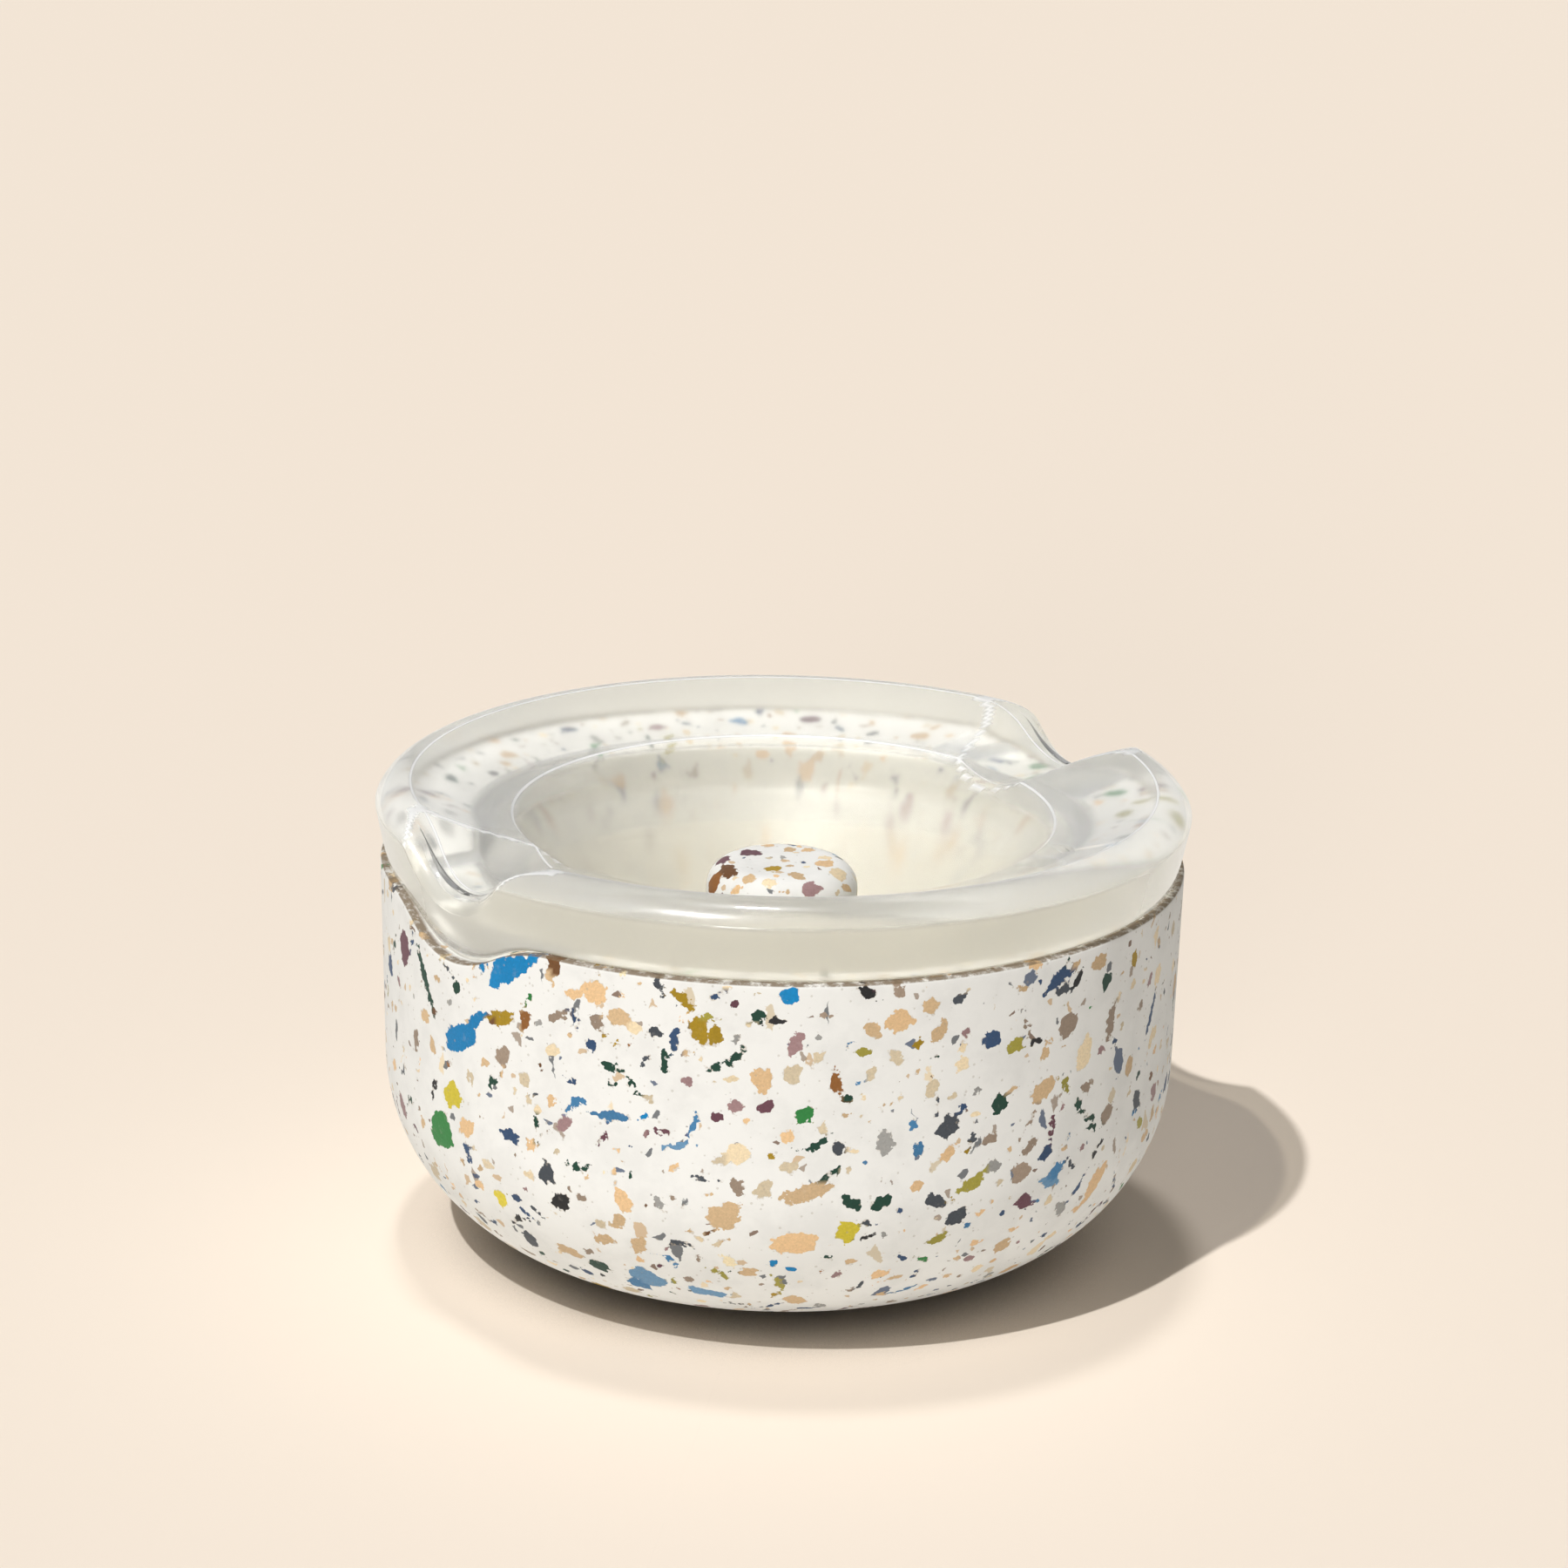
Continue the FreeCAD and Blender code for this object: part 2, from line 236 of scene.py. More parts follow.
def ease(tree, value, low, high):   # 0 at low, 1 at high
    inputs = {0: value, 1: low, 2: high}
    return add(tree, "ShaderNodeMapRange", inputs, interpolation_type="SMOOTHSTEP").outputs[0]


def noise(tree, place, scale, detail, roughness):
    inputs = {"Vector": place, "Scale": scale, "Detail": detail, "Roughness": roughness}
    return add(tree, "ShaderNodeTexNoise", inputs)


def between(tree, factor, atZero, atOne):
    return add(tree, "ShaderNodeMapRange", {0: factor, 3: atZero, 4: atOne}).outputs[0]


def attribute(tree, name, output="Fac"):
    return add(tree, "ShaderNodeAttribute", attribute_name=name).outputs[output]


def rgba(colour):
    return (*colour, 1.0)


# Terrazzo: a white matrix with chips of stone and coloured glass
palette = {
    "matrix": (0.92, 0.905, 0.865), "cream": (0.90, 0.73, 0.48), "peach": (0.84, 0.56, 0.30),
    "tan": (0.66, 0.46, 0.26), "sand": (0.70, 0.58, 0.40), "taupe": (0.36, 0.27, 0.20),
    "brown": (0.16, 0.07, 0.025), "rust": (0.30, 0.12, 0.03), "grey": (0.36, 0.35, 0.33),
    "mauve": (0.36, 0.22, 0.22), "plum": (0.14, 0.055, 0.075), "charcoal": (0.07, 0.08, 0.095),
    "black": (0.022, 0.021, 0.022), "navy": (0.035, 0.075, 0.16), "denim": (0.06, 0.21, 0.40),
    "cerulean": (0.003, 0.22, 0.50), "sky": (0.16, 0.33, 0.52), "pine": (0.012, 0.055, 0.035),
    "green": (0.03, 0.22, 0.05), "olive": (0.36, 0.31, 0.05), "mustard": (0.40, 0.25, 0.012),
    "yellow": (0.74, 0.60, 0.045),
}
stoneMix = {
    "cream": 20, "tan": 20, "peach": 18, "sand": 12, "taupe": 12, "grey": 7, "mauve": 5,
    "rust": 3, "brown": 3,
}
shardMix = {
    "charcoal": 18, "navy": 18, "pine": 15, "denim": 11, "taupe": 10, "plum": 8, "mustard": 5, "green": 4,
    "olive": 4, "cerulean": 3, "black": 4,
}
# facets, how far in they may be cut, crispness of corners, thickness in mm
chipKinds = {
    "pebble": {"facets": 7, "cut": (0.78, 1.05), "crisp": 6, "thick": 2.2},
    "shard": {"facets": 5, "cut": (0.60, 1.00), "crisp": 20, "thick": 2.2},
    "sliver": {"facets": 6, "cut": (0.75, 1.00), "crisp": 12, "thick": 2.0},
}


chipLook = {
    "seed": 11, "jitter": 0.3, "shade": (0.88, 1.12), "brightest": 0.95,
    "reach": 1.3, "margin": 2.0, "outside": -2.0,      # times the half length, mm, mm
    "steepest": 0.4,                                   # foreshortening is made good up to here
    "pebblesTo": 0.63, "shardsTo": 0.83,               # lots drawn, the rest are slivers
    "length": 0.55, "longer": 1.7, "rarity": 2.3,      # half lengths in mm, long ones are rare
    "width": (0.55, 0.95),                             # share of the length
    "sliverLength": (1.0, 2.6), "sliverWidth": (0.45, 0.7), "sliverBend": 0.15,
}


def makeChip(draw, spot, out, across, halfLength, halfWidth, kind, tint, bend=0.0):
    style = chipKinds[kind]
    jitter = chipLook["jitter"]
    across = (across - out * across.dot(out)).normalized()
    upward = out.cross(across)
    count = style["facets"]
    angles = [(index + draw.uniform(-jitter, jitter)) * math.tau / count for index in range(count)]
    shade = draw.uniform(*chipLook["shade"])
    return {
        "spot": np.array(spot), "axes": np.array([across, upward, out]), "half": (halfLength, halfWidth),
        "normals": np.array([[math.cos(angle), math.sin(angle)] for angle in angles]),
        "cuts": np.array([draw.uniform(*style["cut"]) for angle in angles]),
        "crisp": style["crisp"], "thick": style["thick"], "bend": bend,
        "colour": [min(part * shade, chipLook["brightest"]) for part in palette[tint]] + [1.0],
        "reach": max(halfLength, halfWidth) * chipLook["reach"],
    }


def surfaceOf(piece):   # faces in a fixed order, because a spun mesh's own order differs between runs
    corners = [tuple(vertex.co) for vertex in piece.data.vertices]
    cycles = []
    for polygon in piece.data.polygons:
        cycle = list(polygon.vertices)
        first = cycle.index(min(cycle, key=lambda index: corners[index]))
        cycles.append(cycle[first:] + cycle[:first])
    cycles.sort(key=lambda cycle: [corners[index] for index in cycle])
    return BVHTree.FromPolygons(corners, cycles)


def photoChips(surface, rows, draw):   # chips listed by the pixel and the size they are seen at
    turn = camera.matrix_world.to_3x3()
    cameraRight = turn.col[0]
    cameraUp = turn.col[1]
    chips = []
    for x, y, width, height, tilt, kind, tint, bend in rows:
        hit, out, face, distance = surface.ray_cast(*pixelRay(x, y))
        if hit is None:
            continue
        across = (cameraRight - out * cameraRight.dot(out)).normalized()
        upward = out.cross(across)
        width /= max(across.dot(cameraRight), chipLook["steepest"])
        height /= max(upward.dot(cameraUp), chipLook["steepest"])
        lean = math.radians(tilt)
        across = across * math.cos(lean) + upward * math.sin(lean)
        chips.append(makeChip(draw, hit / mm, out, across, width / 2, height / 2, kind, tint, bend))
    return chips


def scatterChips(surface, outline, chips, draw, tries, crowd):   # evenly over the turned outline
    look = chipLook
    starts = np.array([tuple(point) for point in outline[:-1]])
    steps = np.array([tuple(point) for point in outline[1:]]) - starts
    heap = np.cumsum(np.hypot(steps[:, 0], steps[:, 1]) * (starts[:, 0] + steps[:, 0] / 2))
    spots = np.zeros((tries + len(chips), 3))
    sizes = np.zeros(tries + len(chips))
    for index, chip in enumerate(chips):
        spots[index] = chip["spot"]
        sizes[index] = math.sqrt(chip["half"][0] * chip["half"][1])
    for attempt in range(tries):
        index = int(np.searchsorted(heap, draw.random() * heap[-1]))
        radius, height = starts[index] + steps[index] * draw.random()
        angle = draw.uniform(0, math.tau)
        place = Vector((radius * math.cos(angle), radius * math.sin(angle), height))
        hit, out, face, distance = surface.find_nearest(place * mm)
        lot = draw.random()
        kind = "pebble" if lot < look["pebblesTo"] else "shard" if lot < look["shardsTo"] else "sliver"
        mix = stoneMix if kind == "pebble" else shardMix
        tint = draw.choices(list(mix), list(mix.values()))[0]
        length = look["length"] + look["longer"] * draw.random() ** look["rarity"]
        width = length * draw.uniform(*look["width"])
        if kind == "sliver":
            length = draw.uniform(*look["sliverLength"])
            width = draw.uniform(*look["sliverWidth"])
        turn = draw.uniform(0, math.tau)
        bend = draw.uniform(-look["sliverBend"], look["sliverBend"]) if kind == "sliver" else 0.0
        spot = np.array(hit) / mm
        size = math.sqrt(length * width)
        held = len(chips)
        gaps = np.sqrt(((spots[:held] - spot) ** 2).sum(1)) - sizes[:held]
        if held and gaps.min() < size + crowd:
            continue
        across = Matrix.Rotation(turn, 3, out) @ out.orthogonal()
        chips.append(makeChip(draw, spot, out, across, length, width, kind, tint, bend))
        spots[held] = spot
        sizes[held] = size
    return chips


def setChips(piece, chips):   # each vertex keeps its depth in the nearest chip, and that chip's colour
    data = piece.data
    count = len(data.vertices)
    places = np.empty(count * 3)
    data.vertices.foreach_get("co", places)
    places = places.reshape(-1, 3) / mm
    tree = KDTree(count)
    for index, place in enumerate(places):
        tree.insert(place, index)
    tree.balance()
    depth = np.full(count, chipLook["outside"])
    colours = np.tile(rgba(palette["sand"]), (count, 1))
    for chip in chips:
        reach = chip["reach"] + chipLook["margin"]
        near = [index for place, index, gap in tree.find_range(chip["spot"], reach)]
        if not near:
            continue
        local = (places[near] - chip["spot"]) @ chip["axes"].T
        halfLength, halfWidth = chip["half"]
        u = local[:, 0] / halfLength
        v = (local[:, 1] - chip["bend"] * local[:, 0] ** 2) / halfWidth
        faces = np.maximum(np.stack([u, v], 1) @ chip["normals"].T / chip["cuts"], 0)
        gauge = (faces ** chip["crisp"]).sum(1) ** (1 / chip["crisp"])
        deep = (1 - gauge) * min(halfLength, halfWidth)
        deep = np.where(np.abs(local[:, 2]) > chip["thick"], chipLook["outside"], deep)
        near = np.array(near)
        better = deep > depth[near]
        depth[near[better]] = deep[better]
        colours[near[better]] = chip["colour"]
    data.attributes.new("chipDepth", "FLOAT", "POINT").data.foreach_set("value", depth)
    data.attributes.new("chipTint", "FLOAT_COLOR", "POINT").data.foreach_set("color", colours.ravel())
    print(piece.name, len(chips), "chips set")


# Grit between the chips: cell in mm, share of cells filled, gap and its spread, stretch and turn of the cells
gritLayers = [
    {
        "cell": 2.9, "share": 0.20, "gap": 0.14, "spread": 0.24,
        "stretch": (1.0, 1.0, 0.6), "turn": (0.6, 0.5, 0.1),
        "mix": ["tan", "taupe", "navy", "cream", "charcoal", "sand"],
    },
    {
        "cell": 1.7, "share": 0.11, "gap": 0.16, "spread": 0.22,
        "stretch": (1.0, 0.7, 1.0), "turn": (0.2, 0.9, 0.8),
        "mix": ["taupe", "charcoal", "tan", "brown", "navy"],
    },
]
terrazzoLook = {
    "cloudNoise": (0.12, 5.0, 0.6), "smearNoise": (0.55, 6.0, 0.7),    # scale per mm, detail, roughness
    "raggedNoise": (0.95, 2.0, 0.5), "grainNoise": (2.6, 6.0, 0.7),
    "cloud": (0.42, 0.66), "dull": 0.93,
    "gritWobble": 0.35, "gritEdge": 0.05, "grit": 0.85,
    "ragged": 2.0, "carve": 1.2, "edge": 0.11,                         # mm
    "film": 0.12, "filmSmear": (0.56, 0.72), "veins": (0.7, 0.65),
    "seam": 0.45, "seamShadeTint": (0.46, 0.36, 0.25), "seamDepth": (-0.2, -0.02), "seamSmear": (0.5, 0.6),
    # painted shade along the rim's outer strip, under the glass foot
    "ledgeShade": 0.9, "ledgeShadeTint": (0.20, 0.14, 0.08), "ledgeShadeSmear": (0.3, 0.55),
    "pit": 0.35, "pitTint": (0.42, 0.36, 0.28), "pitScale": 0.8, "pitSize": (0.24, -0.02), "pitEdge": 0.06,
    "grainHeight": 0.6, "seamHeight": 0.5, "bump": 0.3, "bumpDepth": 0.15,
    "roughness": 0.7, "chipRoughness": 0.45, "specular": 0.25,
}


def paletteRamp(tree, value, names):
    ramp = add(tree, "ShaderNodeValToRGB", {0: value})
    ramp.color_ramp.interpolation = "CONSTANT"
    stops = ramp.color_ramp.elements
    for index, name in enumerate(names):
        stop = stops[index] if index < 2 else stops.new(index / len(names))
        stop.position = index / len(names)
        stop.color = rgba(palette[name])
    return ramp.outputs[0]


def gritMask(tree, place, ragged, layer):
    spread = [part / layer["cell"] for part in layer["stretch"]]
    inputs = {"Vector": place, "Rotation": layer["turn"], "Scale": spread}
    turned = add(tree, "ShaderNodeMapping", inputs).outputs[0]
    wobble = scaled(tree, ragged, terrazzoLook["gritWobble"])
    spot = add(tree, "ShaderNodeVectorMath", {0: turned, 1: wobble}).outputs[0]
    cell = add(tree, "ShaderNodeTexVoronoi", {"Vector": spot, "Scale": 1.0})
    edge = add(tree, "ShaderNodeTexVoronoi", {"Vector": spot, "Scale": 1.0}, feature="DISTANCE_TO_EDGE")
    lots = add(tree, "ShaderNodeSeparateColor", {0: cell.outputs["Color"]}).outputs
    gap = maths(tree, "MULTIPLY_ADD", lots[2], layer["spread"], layer["gap"])
    inside = maths(tree, "SUBTRACT", edge.outputs["Distance"], gap)
    inside = ease(tree, inside, 0.0, terrazzoLook["gritEdge"])
    mask = maths(tree, "MULTIPLY", inside, maths(tree, "LESS_THAN", lots[0], layer["share"]))
    return mask, paletteRamp(tree, lots[1], layer["mix"])


def makeTerrazzo(name):
    look = terrazzoLook
    material, tree = newMaterial(name)
    coords = add(tree, "ShaderNodeTexCoord")
    place = scaled(tree, coords.outputs["Object"], 1 / mm)
    cloud = noise(tree, place, *look["cloudNoise"]).outputs[0]
    smear = noise(tree, place, *look["smearNoise"]).outputs[0]
    ragged = noise(tree, place, *look["raggedNoise"])
    grain = noise(tree, place, *look["grainNoise"]).outputs[0]
    whole = rgba(palette["matrix"])
    dull = rgba([part * look["dull"] for part in palette["matrix"]])
    colour = mixColour(tree, ease(tree, cloud, *look["cloud"]), whole, dull)
    for layer in gritLayers:
        mask, shade = gritMask(tree, place, ragged.outputs[1], layer)
        colour = mixColour(tree, maths(tree, "MULTIPLY", mask, look["grit"]), colour, shade)
    held = attribute(tree, "chipDepth")
    tint = attribute(tree, "chipTint", "Color")
    wobble = maths(tree, "MULTIPLY_ADD", ragged.outputs[0], look["ragged"], -look["ragged"] / 2)
    carve = maths(tree, "MULTIPLY_ADD", smear, -look["carve"], look["carve"] / 2)
    depth = maths(tree, "ADD", maths(tree, "ADD", held, wobble), carve)
    # dark brown line along the chip edges: partly a joint, partly painted shade in the shallow groove there
    seam = ease(tree, depth, *look["seamDepth"])
    seam = maths(tree, "MULTIPLY", seam, ease(tree, smear, *look["seamSmear"]))
    colour = mixColour(tree, maths(tree, "MULTIPLY", seam, look["seam"]), colour, rgba(look["seamShadeTint"]))
    film = maths(tree, "MULTIPLY", ease(tree, smear, *look["filmSmear"]), look["film"])
    chip = ease(tree, depth, 0.0, look["edge"])
    chip = maths(tree, "MULTIPLY", chip, maths(tree, "SUBTRACT", 1.0, film))
    value = maths(tree, "MULTIPLY_ADD", grain, *look["veins"])
    veined = add(tree, "ShaderNodeHueSaturation", {"Color": tint, "Value": value}).outputs[0]
    colour = mixColour(tree, chip, colour, veined)
    # painted shade: the rim's outer strip turns brown where the glass foot shades it, broken up by noise
    ledgeShade = maths(tree, "MULTIPLY", attribute(tree, "ledgeShade"), ease(tree, smear, *look["ledgeShadeSmear"]))
    ledgeShade = maths(tree, "MULTIPLY", ledgeShade, look["ledgeShade"])
    colour = mixColour(tree, ledgeShade, colour, rgba(look["ledgeShadeTint"]))
    pits = add(tree, "ShaderNodeTexVoronoi", {"Vector": place, "Scale": look["pitScale"]})
    pitLots = add(tree, "ShaderNodeSeparateColor", {0: pits.outputs["Color"]}).outputs
    hole = maths(tree, "MULTIPLY_ADD", pitLots[0], *look["pitSize"])
    hole = ease(tree, maths(tree, "SUBTRACT", hole, pits.outputs["Distance"]), 0.0, look["pitEdge"])
    colour = mixColour(tree, maths(tree, "MULTIPLY", hole, look["pit"]), colour, rgba(look["pitTint"]))
    height = maths(tree, "MULTIPLY_ADD", grain, look["grainHeight"], maths(tree, "MULTIPLY", hole, -1.0))
    height = maths(tree, "SUBTRACT", height, maths(tree, "MULTIPLY", seam, look["seamHeight"]))
    inputs = {"Height": height, "Strength": look["bump"], "Distance": look["bumpDepth"] * mm}
    bump = add(tree, "ShaderNodeBump", inputs).outputs[0]
    surface = add(tree, "ShaderNodeBsdfPrincipled", {
        "Base Color": colour, "Roughness": between(tree, chip, look["roughness"], look["chipRoughness"]),
        "Normal": bump, "Specular IOR Level": look["specular"],
    })
    add(tree, "ShaderNodeOutputMaterial", {"Surface": surface.outputs[0]})
    return material


terrazzo = makeTerrazzo("terrazzo")
knobTerrazzo = makeTerrazzo("knobTerrazzo")


# Milky pressed glass, clear enough to show the stone under it as through mist
glassLook = {
    "tint": (0.94, 0.945, 0.935), "roughness": 0.26, "ior": 1.46, "clear": 0.86,
    "dishRadius": (42.2, 43.4), "dishRoughness": 0.235, "dishClear": 0.76,    # the dish has no coat
    "dishTint": (0.93, 0.91, 0.835),
    "sideRadius": (62.0, 62.8), "sideTop": 8.0, "sideBlend": 2.5,             # the side is milkier
    "sideClear": 0.62, "sideTint": (0.95, 0.92, 0.81),
    "highlightTint": (0.97, 0.97, 0.96), "highlightClear": 0.16,                        # painted highlight lines along the edges
    "coatRoughness": 0.03, "lampTint": (0.44, 0.43, 0.40),                    # what the glass lets through
}


def makeGlass():
    look = glassLook
    material, tree = newMaterial("milkyGlass")
    place = add(tree, "ShaderNodeTexCoord").outputs["Object"]
    inputs = {0: place, 1: (1 / mm, 1 / mm, 0)}
    flat = add(tree, "ShaderNodeVectorMath", inputs, operation="MULTIPLY").outputs[0]
    radius = add(tree, "ShaderNodeVectorMath", {0: flat}, operation="LENGTH").outputs["Value"]
    height = add(tree, "ShaderNodeSeparateXYZ", {0: place}).outputs[2]
    polish = ease(tree, radius, *look["dishRadius"])
    sideZ = rimZ + look["sideTop"]
    below = ease(tree, height, (sideZ + look["sideBlend"]) * mm, sideZ * mm)
    side = maths(tree, "MULTIPLY", ease(tree, radius, *look["sideRadius"]), below)
    # painted highlight: the edge attribute makes the glass pale and milky along the crest, crease and groove
    # edges
    edge = attribute(tree, "edge")
    clear = between(tree, polish, look["dishClear"], look["clear"])
    clear = between(tree, side, clear, look["sideClear"])
    clear = between(tree, edge, clear, look["highlightClear"])
    tint = mixColour(tree, polish, rgba(look["dishTint"]), rgba(look["tint"]))
    tint = mixColour(tree, side, tint, rgba(look["sideTint"]))
    tint = mixColour(tree, edge, tint, rgba(look["highlightTint"]))
    surface = add(tree, "ShaderNodeBsdfPrincipled", {
        "Base Color": tint, "Roughness": between(tree, polish, look["dishRoughness"], look["roughness"]),
        "IOR": look["ior"], "Transmission Weight": clear,
        "Coat Weight": polish, "Coat Roughness": look["coatRoughness"],
    })
    lamps = add(tree, "ShaderNodeBsdfTransparent", {"Color": rgba(look["lampTint"])})
    shadow = add(tree, "ShaderNodeLightPath").outputs["Is Shadow Ray"]
    both = add(tree, "ShaderNodeMixShader", {0: shadow, 1: surface.outputs[0], 2: lamps.outputs[0]})
    add(tree, "ShaderNodeOutputMaterial", {"Surface": both.outputs[0]})
    return material


milkyGlass = makeGlass()


# Soft silicone of the bung and the pads
siliconeLook = {
    "bungTint": (0.82, 0.80, 0.74), "padTint": (0.42, 0.40, 0.37), "dull": 0.88, "roughness": 0.62,
    "grainNoise": (2.4, 3.0, 0.6), "bump": 0.2, "bumpDepth": 0.05,
    "glow": 0.15, "glowRadius": (0.004, 0.004, 0.003),
}


def makeSilicone(name, colour):
    look = siliconeLook
    material, tree = newMaterial(name)
    coords = add(tree, "ShaderNodeTexCoord")
    place = scaled(tree, coords.outputs["Object"], 1 / mm)
    grain = noise(tree, place, *look["grainNoise"]).outputs[0]
    tint = mixColour(tree, grain, rgba(colour), rgba([part * look["dull"] for part in colour]))
    inputs = {"Height": grain, "Strength": look["bump"], "Distance": look["bumpDepth"] * mm}
    bump = add(tree, "ShaderNodeBump", inputs).outputs[0]
    surface = add(tree, "ShaderNodeBsdfPrincipled", {
        "Base Color": tint, "Roughness": look["roughness"], "Normal": bump,
        "Subsurface Weight": look["glow"], "Subsurface Radius": look["glowRadius"],
    })
    add(tree, "ShaderNodeOutputMaterial", {"Surface": surface.outputs[0]})
    return material


# Bowl
bowlSizes = {
    "radius": 64.2, "draft": 1.1, "bottomRound": 31.0, "bore": 52.0, "floor": 12.0, "boreRound": 22.0,
    "rimRound": 0.5, "boreEdge": 0.6, "roundSteps": (0, 54, 4, 4, 18, 0), "steps": 468,
    "flatRadius": 31.0, "flatSpacing": 5.0, "boreSpacing": 1.9, "wallSpacing": 0.86,
    "scoopDepth": 5.8, "scoopHalfWidth": 22.0, "scoopRoundness": 0.8, "scoopReach": 16.0, "scoopKeep": 2.0,
    "boreMargin": 1.0, "wallBand": 3.0,       # the scoops bend what lies outside, and slim this band
    "ledgeShade": 2.0, "ledgeDrop": 0.3,           # painted shade: a brown strip round the rim, where the glass foot shades it
    "chipTries": 6500, "chipCrowd": 0.4,
}
